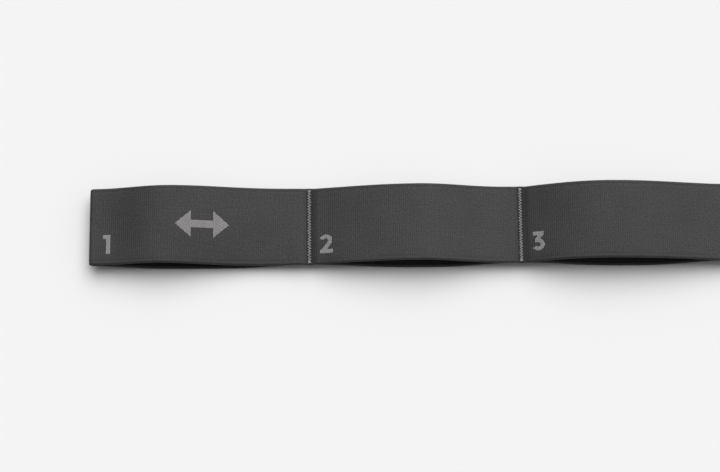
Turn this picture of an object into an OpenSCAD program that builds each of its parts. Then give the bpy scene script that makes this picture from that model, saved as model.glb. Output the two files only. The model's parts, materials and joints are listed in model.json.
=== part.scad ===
// Resistance band: one long strip of flat elastic webbing, folded double and sewn
// across at seven places, so that it forms eight numbered loops for a hand or a foot.
// The band lies along X on the XY plane, relaxed, with loop 1 at the -X end.
// Each loop lies as a low lens: its lower run settles on the ground and its upper run
// arches over it. The origin is under the middle of the band, at ground level.

/* [Webbing] */
// Width of the webbing, along Y
webbing_width = 40; // [25:1:60]
// Thickness of one layer of webbing
layer_thickness = 1.4; // [1:0.1:2]
// Thickness of one layer where a cross seam presses it
pressed_thickness = 0.6; // [0.4:0.05:0.9]
// Clearance between the middle plane and each layer, at seams and end folds
half_gap = 0.1; // [0.05:0.05:0.2]

/* [Loops] */
// Distance from one cross seam to the next
loop_pitch = 106; // [80:1:160]
// Distance from the outer edge of the band's end to the nearest cross seam
end_loop_length = 110; // [80:1:160]
// Scale of every loop's arch, with 1 as the relaxed band lies
arch_scale = 1; // [0.6:0.05:1.3]

/* [Seams] */
// Half width of the pressed core that a cross seam holds together
seam_core_radius = 1.4; // [1.2:0.1:1.6]
// Distance from a seam's middle to the cut ends of the runs beside it
seam_clearance = 1.75; // [1.75:0.05:2.2]
// Distance from a seam's middle at which the webbing is back to its full thickness
press_length = 3.6; // [3.2:0.1:6]
// Thickness of the sewing thread
thread_thickness = 0.35; // [0.2:0.05:0.4]
// Sideways reach of the zigzag, from the seam's middle to the thread's middle
zigzag_reach = 0.6; // [0.4:0.05:0.65]
// Distance along the seam from one needle hole to the next
stitch_step = 0.7; // [0.6:0.05:1.5]
// Distance from the webbing's edge to the first and last needle hole
stitch_margin = 0.8; // [0.5:0.1:3]

/* [Closing lap] */
// Distance from the last seam to the start of the lap that closes the strip
lap_start = 8; // [7:0.5:10]
// Length of the lap
lap_length = 10; // [8:0.5:10]

/* [Woven figures] */
// Height of a numeral, along Y
numeral_height = 10; // [6:0.5:12]
// Distance from the webbing's edge to a numeral's foot
numeral_margin = 5.3; // [3:0.1:8]
// Distance from a seam or an end fold to a numeral
numeral_inset = 5.5; // [4.5:0.1:12]
// How far the pattern yarn stands proud of the webbing
figure_height = 0.15; // [0.1:0.05:0.3]
// Length of the stretch arrow on loop 1
arrow_length = 27; // [15:1:40]

/* [Hidden] */
loop_count = 8;
// Heights over the ground of the near fold, the seven seams and the far fold.
joint_height = [7.0, 4.8, 5.4, 6.8, 5.2, 6.0, 4.9, 5.6, 6.4];
// Each loop's arch: how far it rises, where its crest lies along the loop, and how
// softly it leaves the left and the right end.
arch_rise = [6.3, 6.8, 8.4, 7.2, 6.6, 7.9, 7.0, 6.5];
crest_place = [0.36, 0.52, 0.40, 0.54, 0.45, 0.38, 0.50, 0.62];
left_power = [2.0, 1.12, 1.0, 1.3, 1.1, 1.0, 1.2, 1.5];
right_power = [3.0, 2.5, 1.45, 2.2, 1.8, 2.6, 1.7, 2.0];
// Share of each loop's length over which its lower run comes down from the left end
// and rises to the right end.
settle_left = [0.38, 0.44, 0.40, 0.42, 0.40, 0.44, 0.38, 0.40];
settle_right = [0.36, 0.40, 0.44, 0.38, 0.42, 0.38, 0.42, 0.38];
settle_power = 1.6;
// Distance from a seam's middle at which the arch begins.
flat_length = 3;
// Steps along a run, closer together towards its ends.
run_steps = 40;
// Free space at the far end, which moves away from loop 8 when that loop stretches.
far_gap = 0.35;
// The lap's lower layer steps down by one layer over this length.
lap_step = 3;
lap_clearance = 0.05;

fold_radius = half_gap + layer_thickness;
total_length = 2 * end_loop_length + (loop_count - 2) * loop_pitch;
core_half = half_gap + pressed_thickness;
sky = 60;

charcoal = [0.27, 0.265, 0.275];
light_grey = [0.6, 0.59, 0.6];
thread_grey = [0.52, 0.51, 0.53];

// ---- Places along the band. Joint 0 is the near fold, joint 8 the far fold. ----

function is_fold(j) = j == 0 || j == loop_count;
function joint_x(j) =
    j == 0 ? -total_length / 2 + fold_radius :
    j == loop_count ? total_length / 2 - fold_radius :
    -total_length / 2 + end_loop_length + (j - 1) * loop_pitch;
function joint_z(j) = joint_height[j];
function run_from(k) = joint_x(k - 1) + (is_fold(k - 1) ? 0 : seam_clearance);
function run_to(k) = joint_x(k) - (is_fold(k) ? far_gap : seam_clearance);
function arch_from(k) = joint_x(k - 1) + (is_fold(k - 1) ? 0 : flat_length);
function arch_to(k) = joint_x(k) - (is_fold(k) ? 0 : flat_length);

// ---- The lie of each loop, as heights over the ground at a place x. ----

function clamp01(u) = min(1, max(0, u));
function ease(u, power) = pow(sin(90 * clamp01(u)), power);
function mix(a, b, u) = a + (b - a) * u;
function middle(k, x) =
    mix(joint_z(k - 1), joint_z(k), (x - joint_x(k - 1)) / (joint_x(k) - joint_x(k - 1)));
function arch_share(k, x) = (x - arch_from(k)) / (arch_to(k) - arch_from(k));
function arch_shape(k, t) =
    t < crest_place[k - 1]
        ? ease(t / crest_place[k - 1], left_power[k - 1])
        : ease((1 - t) / (1 - crest_place[k - 1]), right_power[k - 1]);
function arch(k, x) = arch_scale * arch_rise[k - 1] * arch_shape(k, arch_share(k, x));
function settle_shape(k, t) =
    min(ease(t / settle_left[k - 1], settle_power), ease((1 - t) / settle_right[k - 1], settle_power));
function settle(k, x) =
    (middle(k, x) - half_gap - layer_thickness) * settle_shape(k, arch_share(k, x));

// Thickness of the webbing, which a seam presses and an end fold doesn't.
function press_share(distance) = clamp01((distance - seam_clearance) / (press_length - seam_clearance));
function seam_share(j, x) = is_fold(j) ? 1 : press_share(abs(x - joint_x(j)));
function layer(k, x) =
    mix(pressed_thickness, layer_thickness, min(seam_share(k - 1, x), seam_share(k, x)));

function top_inner(k, x) = middle(k, x) + half_gap + arch(k, x);
function top_outer(k, x) = top_inner(k, x) + layer(k, x);
function bottom_inner(k, x) = middle(k, x) - half_gap - settle(k, x);
function bottom_outer(k, x) = bottom_inner(k, x) - layer(k, x);

// Places from one x to another, closer together at both ends.
function places(from, to, steps) =
    [for (i = [0:steps]) mix(from, to, (1 - cos(180 * i / steps)) / 2)];
function run_places(k) = places(run_from(k), run_to(k), run_steps);
function reversed(list) = [for (i = [len(list) - 1:-1:0]) list[i]];

// ---- Shared shapes ----

// Stands an outline drawn in X and Z up and draws it across the webbing.
module across(width) {
    translate([0, width / 2, 0])
        rotate([90, 0, 0])
            linear_extrude(height = width)
                children();
}

// The outline between two lines of points over the same places.
module between(upper, lower) {
    polygon(concat(upper, reversed(lower)));
}

// A half ring of webbing, where the strip turns over at an end of the band.
module end_fold(j, side) {
    translate([joint_x(j), 0, joint_z(j)])
        intersection() {
            rotate([90, 0, 0])
                difference() {
                    cylinder(h = webbing_width, r = fold_radius, center = true, $fn = 64);
                    cylinder(h = webbing_width + 2, r = half_gap, center = true, $fn = 64);
                }
            translate([side * fold_radius, 0, 0])
                cube([2 * fold_radius, webbing_width + 1, 3 * fold_radius], center = true);
        }
}

// A zigzag of thread seen from above, on x = 0, from the front edge to the rear one.
module zigzag() {
    reach = webbing_width - 2 * stitch_margin;
    steps = floor(reach / stitch_step);
    step = reach / steps;
    path = [for (i = [0:steps]) [(i % 2 == 0 ? -1 : 1) * zigzag_reach, i * step - reach / 2]];
    half = thread_thickness / 2;
    polygon(concat(
        [for (p = path) [p[0] - half, p[1]]],
        [for (p = reversed(path)) [p[0] + half, p[1]]]
    ));
}

// Keeps of a figure only the thin layer that lies on top of loop k's upper run.
module woven_into_top(k) {
    stations = run_places(k);
    intersection() {
        linear_extrude(height = sky) children();
        across(webbing_width)
            between(
                [for (x = stations) [x, top_outer(k, x) + figure_height]],
                [for (x = stations) [x, top_outer(k, x)]]
            );
    }
}

// ---- Webbing ----

module webbing_top(k) {
    stations = run_places(k);
    color(charcoal)
        across(webbing_width)
            between(
                [for (x = stations) [x, top_outer(k, x)]],
                [for (x = stations) [x, top_inner(k, x)]]
            );
}

module webbing_bottom(k) {
    from = k == loop_count ? joint_x(k - 1) + lap_start : run_from(k);
    stations = places(from, run_to(k), run_steps);
    color(charcoal)
        across(webbing_width)
            between(
                [for (x = stations) [x, bottom_inner(k, x)]],
                [for (x = stations) [x, bottom_outer(k, x)]]
            );
}

// The two layers that a cross seam presses into one cord, round the fold line.
module webbing_seam(k) {
    color(charcoal)
        translate([joint_x(k), 0, joint_z(k)])
            intersection() {
                rotate([90, 0, 0])
                    cylinder(h = webbing_width, r = seam_core_radius, center = true, $fn = 64);
                cube([3 * seam_core_radius, webbing_width + 1, 2 * core_half], center = true);
            }
}

module near_fold() {
    color(charcoal) end_fold(0, -1);
}

module far_fold() {
    color(charcoal) end_fold(loop_count, 1);
}

// ---- Cross seams ----

module needle_thread(k) {
    color(thread_grey)
        translate([joint_x(k), 0, joint_z(k) + core_half])
            linear_extrude(height = thread_thickness)
                zigzag();
}

module bobbin_thread(k) {
    color(thread_grey)
        translate([joint_x(k), 0, joint_z(k) - core_half - thread_thickness])
            linear_extrude(height = thread_thickness)
                zigzag();
}

// ---- The lap that closes the strip, under the start of the last loop ----

// How far the lower layer of the lap has stepped down under the upper one.
function lap_drop(x) =
    let (along = x - joint_x(loop_count - 1))
    (layer_thickness + lap_clearance) * ease((along - lap_start + lap_step) / lap_step, 2);
function lap_upper(x) = bottom_inner(loop_count, x) - lap_drop(x);
function lap_lower(x) = lap_upper(x) - layer(loop_count, x);
lap_end_x = joint_x(loop_count - 1) + lap_start + lap_length;
lap_seam_x = joint_x(loop_count - 1) + lap_start + lap_length / 2;

module lap_end() {
    stations = places(run_from(loop_count), lap_end_x, run_steps / 2);
    color(charcoal)
        across(webbing_width)
            between(
                [for (x = stations) [x, lap_upper(x)]],
                [for (x = stations) [x, lap_lower(x)]]
            );
}

module lap_thread(stations, lower) {
    color(thread_grey)
        intersection() {
            translate([lap_seam_x, 0, 0]) linear_extrude(height = sky) zigzag();
            across(webbing_width)
                between(
                    [for (i = [0:len(stations) - 1]) [stations[i], lower[i] + thread_thickness]],
                    [for (i = [0:len(stations) - 1]) [stations[i], lower[i]]]
                );
        }
}

module lap_needle_thread() {
    stations = places(joint_x(loop_count - 1) + lap_start, run_to(loop_count), run_steps);
    lap_thread(stations, [for (x = stations) bottom_inner(loop_count, x)]);
}

module lap_bobbin_thread() {
    stations = places(run_from(loop_count), lap_end_x, run_steps / 2);
    lap_thread(stations, [for (x = stations) lap_lower(x) - thread_thickness]);
}

// ---- Figures woven into the upper runs ----

// A numeral is drawn as strokes on a grid whose height is 10 and whose stroke is 2.1.
glyph_height = 10;
glyph_stroke = 2.1;

function arc(centre, radius, from, to) =
    [for (i = [0:12]) let (a = mix(from, to, i / 12)) centre + radius * [cos(a), sin(a)]];
function along(path, i) =
    let (step = path[min(i + 1, len(path) - 1)] - path[max(i - 1, 0)]) step / norm(step);
function beside(path, i, reach) = path[i] + reach * [-along(path, i)[1], along(path, i)[0]];

module stroke(path) {
    last = len(path) - 1;
    polygon(concat(
        [for (i = [0:last]) beside(path, i, glyph_stroke / 2)],
        [for (i = [last:-1:0]) beside(path, i, -glyph_stroke / 2)]
    ));
}

function round_outline(centre, radius) =
    [for (a = [0:15:345]) centre + radius * [cos(a), sin(a)]];

module ring(centre, radius) {
    difference() {
        polygon(round_outline(centre, radius + glyph_stroke / 2));
        polygon(round_outline(centre, radius - glyph_stroke / 2));
    }
}

module glyph(k) {
    low = glyph_stroke / 2;
    high = glyph_height - glyph_stroke / 2;
    if (k == 1) {
        stroke([[0, high], [2.9, high]]);
        stroke([[2.9, 0], [2.9, glyph_height]]);
    }
    if (k == 2) {
        stroke(concat(arc([2.9, 6.75], 2.15, 166, -25), [[1.3, low]]));
        stroke([[0, low], [6.6, low]]);
    }
    if (k == 3) {
        stroke([[0.4, high], [5.8, high]]);
        stroke([[4.8, high], [2.3, 5.6]]);
        stroke(concat([[1.3, 5.25]], arc([3, 3.2], 2.1, 90, -150)));
    }
    if (k == 4) {
        stroke([[3.7, glyph_height - 0.3], [1.1, 3.2]]);
        stroke([[0, 3.1], [6.5, 3.1]]);
        stroke([[4.5, 0], [4.5, glyph_height]]);
    }
    if (k == 5) {
        stroke([[0.9, high], [5.8, high]]);
        stroke([[1.4, high], [1.4, 4.9]]);
        stroke(arc([3, 3.25], 2.15, 140, -150));
    }
    if (k == 6) {
        stroke(arc([3.2, 3.25], 2.15, 140, -190));
        stroke([[4.7, glyph_height - 0.3], [1.3, 4.2]]);
    }
    if (k == 7) {
        stroke([[0.2, high], [6.3, high]]);
        stroke([[5.4, high], [2.2, 0.2]]);
    }
    if (k == 8) {
        ring([3.2, 3.15], 2.05);
        ring([3.2, 7.2], 1.7);
    }
}

module numeral(k) {
    size = numeral_height / glyph_height;
    left = joint_x(k - 1) + numeral_inset;
    color(light_grey)
        woven_into_top(k)
            translate([left, -webbing_width / 2 + numeral_margin])
                scale([size, size, size])
                    intersection() {
                        glyph(k);
                        square(glyph_height);
                    }
}

// A plain two-headed arrow: this way the band stretches.
module stretch_arrow() {
    half = arrow_length / 2;
    head_length = 0.3 * arrow_length;
    head_half = 0.26 * arrow_length;
    shaft_half = 0.075 * arrow_length;
    right_side = [
        [half - head_length, shaft_half],
        [half - head_length, head_half],
        [half, 0],
        [half - head_length, -head_half],
        [half - head_length, -shaft_half]
    ];
    left_side = [for (p = right_side) -p];
    color(light_grey)
        woven_into_top(1)
            translate([joint_x(0) + end_loop_length / 2, 0])
                polygon(concat(right_side, left_side));
}

// ---- Nodes ----

near_fold();
for (k = [1:loop_count]) {
    webbing_top(k);
    webbing_bottom(k);
    numeral(k);
}
for (k = [1:loop_count - 1]) {
    webbing_seam(k);
    needle_thread(k);
    bobbin_thread(k);
}
stretch_arrow();
lap_end();
lap_needle_thread();
lap_bobbin_thread();
far_fold();
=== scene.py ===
# %% [markdown]
# # A folded exercise band
#
# The object is one long strip of woven elastic webbing, folded double and sewn across at seven places, so
# that it forms a row of eight numbered loops. This lesson dresses a finished CAD frame of that band: every
# cloth, thread and yarn piece is built again as a fine mesh, in the places that the frame gives, and gets a
# node-based finish. The frame is loaded first, because all later positions are read from it.

import json
import math

import bpy
import numpy as np
from mathutils import Matrix, Vector
from mathutils.bvhtree import BVHTree

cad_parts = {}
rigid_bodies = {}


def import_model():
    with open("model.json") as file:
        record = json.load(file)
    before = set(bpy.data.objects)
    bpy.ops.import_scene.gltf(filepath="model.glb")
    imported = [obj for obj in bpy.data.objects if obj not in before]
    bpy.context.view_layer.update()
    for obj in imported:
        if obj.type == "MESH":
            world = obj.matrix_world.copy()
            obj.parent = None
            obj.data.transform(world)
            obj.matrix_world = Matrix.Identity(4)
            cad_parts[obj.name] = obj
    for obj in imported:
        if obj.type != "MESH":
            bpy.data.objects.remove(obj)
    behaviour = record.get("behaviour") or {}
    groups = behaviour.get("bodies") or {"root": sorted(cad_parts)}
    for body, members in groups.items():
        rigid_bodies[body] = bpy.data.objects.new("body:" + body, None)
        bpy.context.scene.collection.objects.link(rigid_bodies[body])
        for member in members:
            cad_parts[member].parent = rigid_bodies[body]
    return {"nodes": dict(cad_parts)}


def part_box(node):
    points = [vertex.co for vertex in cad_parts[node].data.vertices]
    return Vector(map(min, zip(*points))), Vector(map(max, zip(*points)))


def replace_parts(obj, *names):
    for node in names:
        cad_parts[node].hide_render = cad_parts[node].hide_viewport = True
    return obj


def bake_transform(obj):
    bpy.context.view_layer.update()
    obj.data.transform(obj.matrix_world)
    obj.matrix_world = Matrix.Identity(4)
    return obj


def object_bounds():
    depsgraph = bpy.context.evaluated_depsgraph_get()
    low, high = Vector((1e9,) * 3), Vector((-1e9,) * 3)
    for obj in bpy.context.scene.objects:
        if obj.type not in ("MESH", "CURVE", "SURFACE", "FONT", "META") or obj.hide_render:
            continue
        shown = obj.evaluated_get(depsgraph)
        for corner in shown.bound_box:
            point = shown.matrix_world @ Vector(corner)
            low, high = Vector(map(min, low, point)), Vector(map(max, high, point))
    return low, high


for startup_object in list(bpy.data.objects):
    bpy.data.objects.remove(startup_object)
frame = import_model()
cad_low, cad_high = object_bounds()
MM = 0.001
print("CAD box in mm:", [round(v / MM, 1) for v in (*cad_low, *cad_high)])

# %% [markdown]
# ## Where the seams are
#
# The band has nine joints: the near fold, seven cross seams and the far fold. A fold's middle is on the
# straight side of its half ring, and a seam's middle is the middle of its box. Reading them from the frame
# keeps the cloth right if the band's sizes change.


# %% Joints of the band
LOOPS = 8


def middle_of(node):
    """The middle of a CAD node's box."""
    low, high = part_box(node)
    return (low + high) / 2


joints = [Vector((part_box("near_fold")[1].x, 0, middle_of("near_fold").z))]
joints += [middle_of(f"webbing_seam_{k}") for k in range(1, LOOPS)]
joints += [Vector((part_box("far_fold")[0].x, 0, middle_of("far_fold").z))]
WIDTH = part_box("webbing_top_1")[1].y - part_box("webbing_top_1")[0].y
print("joints along the band in mm:", [round(j.x / MM, 1) for j in joints])

# %% [markdown]
# ## How each layer lies
#
# The frame's runs are drawn with straight facets. Real webbing is springy and bends evenly, so the heights
# of each layer are read at the facets' corners, joined with a smooth curve and rounded off a little with a
# bell-shaped average. The result is one height curve and one thickness curve for the whole upper layer, and
# the same for the lower layer.


# %% Read the layers' heights
FINE_STEP = 0.1 * MM


def faces_of(node):
    """Places along a run, and the heights of its upper and lower face there."""
    mesh = frame["nodes"][node].data
    points = np.zeros(len(mesh.vertices) * 3)
    mesh.vertices.foreach_get("co", points)
    points = points.reshape(-1, 3)
    places, group = np.unique(np.round(points[:, 0], 6), return_inverse=True)
    upper, lower = np.full(len(places), -1.0), np.full(len(places), 1.0)
    np.maximum.at(upper, group, points[:, 2])
    np.minimum.at(lower, group, points[:, 2])
    return places, upper, lower


def smooth_through(x_known, z_known, x_wanted):
    """A smooth curve through known heights."""
    slope = np.gradient(z_known, x_known)
    i = np.clip(np.searchsorted(x_known, x_wanted) - 1, 0, len(x_known) - 2)
    span = x_known[i + 1] - x_known[i]
    t = np.clip((x_wanted - x_known[i]) / span, 0, 1)
    start = z_known[i] * (1 + 2 * t) * (1 - t) ** 2 + slope[i] * span * t * (1 - t) ** 2
    end = z_known[i + 1] * t**2 * (3 - 2 * t) - slope[i + 1] * span * t**2 * (1 - t)
    return start + end


def rounded_off(values, reach):
    """A bell-shaped running average over reach, with the ends held."""
    half = int(3 * reach / FINE_STEP)
    bell = np.exp(-0.5 * (np.arange(-half, half + 1) * FINE_STEP / reach) ** 2)
    padded = np.pad(values, half, mode="edge")
    return np.convolve(padded, bell / bell.sum(), mode="valid")


class Layer:
    """The lie of one layer of cloth: the height of its middle and half its thickness at a place x."""

    def __init__(self, nodes, softness=0.5 * MM):
        rows = [np.array(faces_of(node)) for node in nodes]
        x, upper, lower = np.concatenate(rows, axis=1)
        x, first = np.unique(x, return_index=True)
        upper, lower = upper[first], lower[first]
        self.x = np.arange(x[0], x[-1] + FINE_STEP, FINE_STEP)
        middle = smooth_through(x, (upper + lower) / 2, self.x)
        half = np.interp(self.x, x, (upper - lower) / 2)
        self.middle_line = rounded_off(middle, softness)
        self.half_line = rounded_off(half, softness)

    def middle(self, x):
        return np.interp(x, self.x, self.middle_line)

    def half(self, x):
        return np.interp(x, self.x, self.half_line)


upper_layer = Layer([f"webbing_top_{k}" for k in range(1, LOOPS + 1)])
lower_layer = Layer([f"webbing_bottom_{k}" for k in range(1, LOOPS)] + ["lap_end"])
closing_layer = Layer([f"webbing_bottom_{LOOPS}"])
print("highest cloth in mm:", round((upper_layer.middle_line + upper_layer.half_line).max() / MM, 2))

# %% [markdown]
# ## Drape
#
# A relaxed loop is never a perfect arch: its free front edge hangs a little lower in one place and stands
# up in another. A drape is a small change of height that depends on the place along and across the band. It
# is a function of its own, because the cloth and every yarn that lies on the cloth must move by the same
# amount.

# %% Drape of the upper layer
# Each row: the loop, how far along it the change lies, how far up it goes in mm, and its length in mm.
FRONT_DIPS = [
    (1, 0.57, -3.4, 32),
    (2, 0.15, 0.5, 12),
    (3, 0.45, -1.7, 26),
    (4, 0.62, -1.0, 16),
    (5, 0.40, -0.8, 15),
    (6, 0.70, 0.8, 14),
    (7, 0.35, -0.9, 16),
    (8, 0.55, -0.7, 18),
]


def drape(x, y):
    """How far up the upper layer is moved at a place, in metres."""
    x, y = np.asarray(x, float), np.asarray(y, float)
    to_front = np.clip(0.5 - y / WIDTH, 0, 1) ** 1.5
    change = np.zeros(np.broadcast(x, y).shape)
    for loop, share, depth, length in FRONT_DIPS:
        left, right = joints[loop - 1].x, joints[loop].x
        centre = left + share * (right - left)
        free = np.clip(np.minimum(x - left, right - x) / (9 * MM) - 0.4, 0, 1)
        bell = np.exp(-(((x - centre) / (length * MM)) ** 2))
        change += depth * MM * bell * to_front * free * free * (3 - 2 * free)
    return change


print("drape at the front of loop 1 in mm:", round(float(drape(joints[0].x + 55 * MM, -WIDTH / 2)) / MM, 2))

# %% [markdown]
# ## A strip of ribbed webbing
#
# Woven elastic has ribs across its width, about one millimetre apart, and a thicker cord along each long
# edge, the selvedge, beside a shallow groove. A bump texture could fake the ribs, but at the edges and
# folds they change the outline, so they are real geometry here. The strip is a closed ring of points drawn
# along a path and capped at both ends. Two maps go with it. "cloth" measures the cloth in millimetres,
# along and around, and stays with the cloth when the band stretches. "OFBake" is the same map shrunk into
# the unit square, for anyone who bakes the finish to a picture.


# %% Helpers for meshes with maps
def new_piece(name, vertices, faces):
    """A smooth-shaded mesh object in the scene."""
    mesh = bpy.data.meshes.new(name)
    mesh.from_pydata(vertices, [], faces)
    mesh.polygons.foreach_set("use_smooth", np.ones(len(mesh.polygons), bool))
    piece = bpy.data.objects.new(name, mesh)
    bpy.context.scene.collection.objects.link(piece)
    return piece


def add_map(piece, name, corner_places):
    """A UV map, from one place for each corner of each face."""
    layer = piece.data.uv_layers.new(name=name)
    layer.uv.foreach_set("vector", np.asarray(corner_places, np.float32).ravel())


def grid_faces(rings, around, first=0):
    """Quads between closed rings of points, with their outer side out."""
    i = np.arange(rings - 1)[:, None]
    j = np.arange(around)[None, :]
    after = (j + 1) % around
    quads = np.stack([i * around + j, (i + 1) * around + j, (i + 1) * around + after, i * around + after], -1)
    return quads.reshape(-1, 4) + first


def grid_places(rings, around, along, across):
    """Each corner's place on a map, for grid_faces. across has one value more than the ring has points."""
    i = np.arange(rings - 1)[:, None]
    j = np.arange(around)[None, :]
    corners = [(i, j), (i + 1, j), (i + 1, j + 1), (i, j + 1)]
    places = [np.stack(np.broadcast_arrays(along[a], across[b]), -1) for a, b in corners]
    return np.stack(places, -2).reshape(-1, 2)


# %% [markdown]
# ## The ring of points
#
# The ring goes round the webbing once: along the outer side, round the rear edge, back along the inner side
# and round the front edge. Its columns of points are closest at the selvedge groove, which needs them most.
# An edge is a half circle pressed flatter and squarer, because a woven edge is squarer than a cord.

# %% The ring of points round the webbing
GROOVE_INSET = 1.75 * MM
GROOVE_DEPTH = 0.10 * MM
GROOVE_REACH = 0.3 * MM
LAYER_HALF = float(upper_layer.half(joints[0].x))
EDGE_ANGLES = [-55, -28, 0, 28, 55]
EDGE_ROUNDING = 0.5
EDGE_SQUARENESS = 0.6
# How far each column of points lies from the webbing's edge, in millimetres.
COLUMN_INSETS = np.array([1.05, 1.4, 1.75, 2.1, 3, 6, 10, 15])
half_columns = WIDTH / 2 / MM - COLUMN_INSETS
plain_columns = np.concatenate([-half_columns, [0], half_columns[::-1]])


def ring_template(columns):
    """For each point: its place across or its angle, its side (1 is outer) and its edge (1 is rear)."""
    flat = columns * MM
    angles = np.radians(EDGE_ANGLES)
    heights = [math.copysign(abs(math.sin(a)) ** EDGE_SQUARENESS, a) for a in angles]
    outer = [(y, 1.0, 0) for y in flat]
    rear = [(a, z, 1) for a, z in zip(angles[::-1], heights[::-1])]
    inner = [(y, -1.0, 0) for y in flat[::-1]]
    front = [(a, z, -1) for a, z in zip(angles, heights)]
    return np.array(front[2:] + outer + rear + inner + front[:2])


def around_length(template, half):
    """Distance round the ring from its first point to each next one and back, in millimetres."""
    y, z = ring_places(template, np.array([WIDTH / 2]), np.array([half]))
    closed_y, closed_z = np.append(y[0], y[0, 0]), np.append(z[0], z[0, 0])
    steps = np.hypot(np.diff(closed_y), np.diff(closed_z))
    return np.concatenate([[0], np.cumsum(steps)]) / MM


def ring_places(template, half_width, half_thick):
    """Place across and offset to the outer side, for every station and ring point."""
    place, side, edge = template.T
    flat_y = place * half_width[:, None] / (WIDTH / 2)
    edge_y = edge * (half_width[:, None] - EDGE_ROUNDING * half_thick[:, None] * (1 - np.cos(place)))
    y = np.where(edge == 0, flat_y, edge_y)
    from_groove = (np.abs(y) - (WIDTH / 2 - GROOVE_INSET)) / GROOVE_REACH
    groove = GROOVE_DEPTH * np.exp(-(from_groove**2)) * (edge == 0)
    groove = groove * np.clip(half_thick[:, None] / LAYER_HALF, 0.3, 1)
    return y, side * (half_thick[:, None] - groove)


RING_LENGTH = float(around_length(ring_template(plain_columns), LAYER_HALF)[-1])
print("distance round the webbing in mm:", round(RING_LENGTH, 2))

# %% [markdown]
# ## From a path to a strip
#
# Two layers of cloth never lie exactly over each other. The lower layer is sewn on a little to the rear and
# slides forward where a loop is open, and this drift is a wave with one period for each loop. The strip
# itself has a whole number of ribs, with four steps for each, and its edge is drawn in a little at each gap
# between ribs. Close to an end fold the corners are drawn in as well, because cloth that turns over pulls
# its edges tight.


# %% Drift of the lower layer
DRIFT_MEAN = 0.10 * MM
DRIFT_SWING = 0.34 * MM
DRIFT_LEAN = 0.10 * MM


def drift(x):
    """How far to the rear the lower layer lies at a place along the band, in metres."""
    joint_number = np.interp(x, [joint.x for joint in joints], range(LOOPS + 1))
    turn = 2 * np.pi * joint_number
    from_fold = np.clip(np.minimum(joint_number, LOOPS - joint_number), 0, 1)
    return from_fold * (DRIFT_MEAN + DRIFT_SWING * np.cos(turn) + DRIFT_LEAN * np.sin(turn))


print("drift at seam 1 in mm:", round(float(drift(joints[1].x)) / MM, 2))

# %% Even stations and the cloth map
RIB_PITCH = 1.06
STEPS_PER_RIB = 4
CAP_GAP = 1.5


def resample(path):
    """Even stations along a path, with a whole number of ribs, and the path's length."""
    steps = np.hypot(np.diff(path[:, 0]), np.diff(path[:, 1]))
    run = np.concatenate([[0], np.cumsum(steps)])
    ribs = max(1, round(run[-1] / (RIB_PITCH * MM)))
    wanted = np.linspace(0, run[-1], ribs * STEPS_PER_RIB + 1)
    return np.stack([np.interp(wanted, run, column) for column in path.T]), run[-1]


def cloth_places(template, half_thick, y, lift):
    """Each face corner's place on the cloth map in mm. The caps lie beside the strip's end, clear of it."""
    rings, around = y.shape
    rib_run = np.arange(rings) / STEPS_PER_RIB * RIB_PITCH
    round_run = around_length(template, half_thick)
    round_run *= RING_LENGTH / round_run[-1]
    cap = np.stack([lift[0] / MM + rib_run[-1] + CAP_GAP, (y[0] + WIDTH / 2) / MM], 1)
    other_cap = cap[::-1] + [0, WIDTH / MM + 1]
    return np.concatenate([grid_places(rings, around, rib_run, round_run), cap, other_cap])


# %% Draw a strip along a path
RIB_HEIGHT = 0.018 * MM
EDGE_SCALLOP = 0.035 * MM
CORNER_PULL = 0.7 * MM
CORNER_LENGTH = 2.6 * MM


def strip(path, columns=plain_columns, pressed=None):
    """One closed strip along a path: its vertices, faces, places on the cloth map, and length."""
    (x, z, half, on_top), length = resample(path)
    along = np.stack([np.gradient(x), np.gradient(z)])
    along /= np.linalg.norm(along, axis=0)
    phase = np.cos(2 * np.pi * np.arange(len(x)) / STEPS_PER_RIB)
    from_end = np.minimum(x - cad_low.x, cad_high.x - x)
    corner = CORNER_PULL * np.clip(1 - from_end / CORNER_LENGTH, 0, 1) ** 2
    half_width = WIDTH / 2 - corner - EDGE_SCALLOP * (1 + phase) / 2
    template = ring_template(columns)
    y, lift = ring_places(template, half_width, half - RIB_HEIGHT * phase)
    y = y + (drift(x) * (1 - on_top))[:, None]
    if pressed is not None:
        lift = lift + pressed(x[:, None], y) * (template[:, 1] > 0.99)
    across_x = x[:, None] - along[1][:, None] * lift
    height = z[:, None] + along[0][:, None] * lift
    height = height + drape(across_x, y) * on_top[:, None]
    vertices = np.stack([across_x, y, height], -1).reshape(-1, 3)
    rings, around = y.shape
    faces = grid_faces(rings, around).tolist()
    faces.append(list(range(around)))
    faces.append(list(range(len(vertices) - 1, len(vertices) - 1 - around, -1)))
    cloth = cloth_places(template, float(np.median(half)), y, lift)
    return {"vertices": vertices, "faces": faces, "cloth": cloth, "length": length}


# %% Make one piece of one or more strips
def webbing_piece(name, strips):
    """A webbing piece with both maps. Its strips lie side by side on them, and the caps' rims are sharp."""
    vertices, faces, cloth, cap_edges = [], [], [], set()
    first, shift = 0, 0.0
    for part in strips:
        faces += [[v + first for v in face] for face in part["faces"]]
        for cap in faces[-2:]:
            cap_edges |= {frozenset(edge) for edge in zip(cap, cap[1:] + cap[:1])}
        vertices.append(part["vertices"])
        cloth.append(part["cloth"] + [shift, 0])
        first += len(part["vertices"])
        shift += (np.ceil(np.ptp(part["cloth"][:, 0]) / RIB_PITCH) + 1) * RIB_PITCH
    piece = new_piece(name, np.concatenate(vertices).tolist(), faces)
    cloth = np.concatenate(cloth)
    add_map(piece, "cloth", cloth)
    add_map(piece, "OFBake", (cloth - cloth.min(0)) / np.ptp(cloth, axis=0).max() * 0.98 + 0.01)
    edges = [frozenset(edge.vertices) in cap_edges for edge in piece.data.edges]
    piece.data.edges.foreach_set("use_edge_sharp", edges)
    return piece


print("rib pitch in mm:", RIB_PITCH, "with", STEPS_PER_RIB, "steps for each rib")

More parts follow.
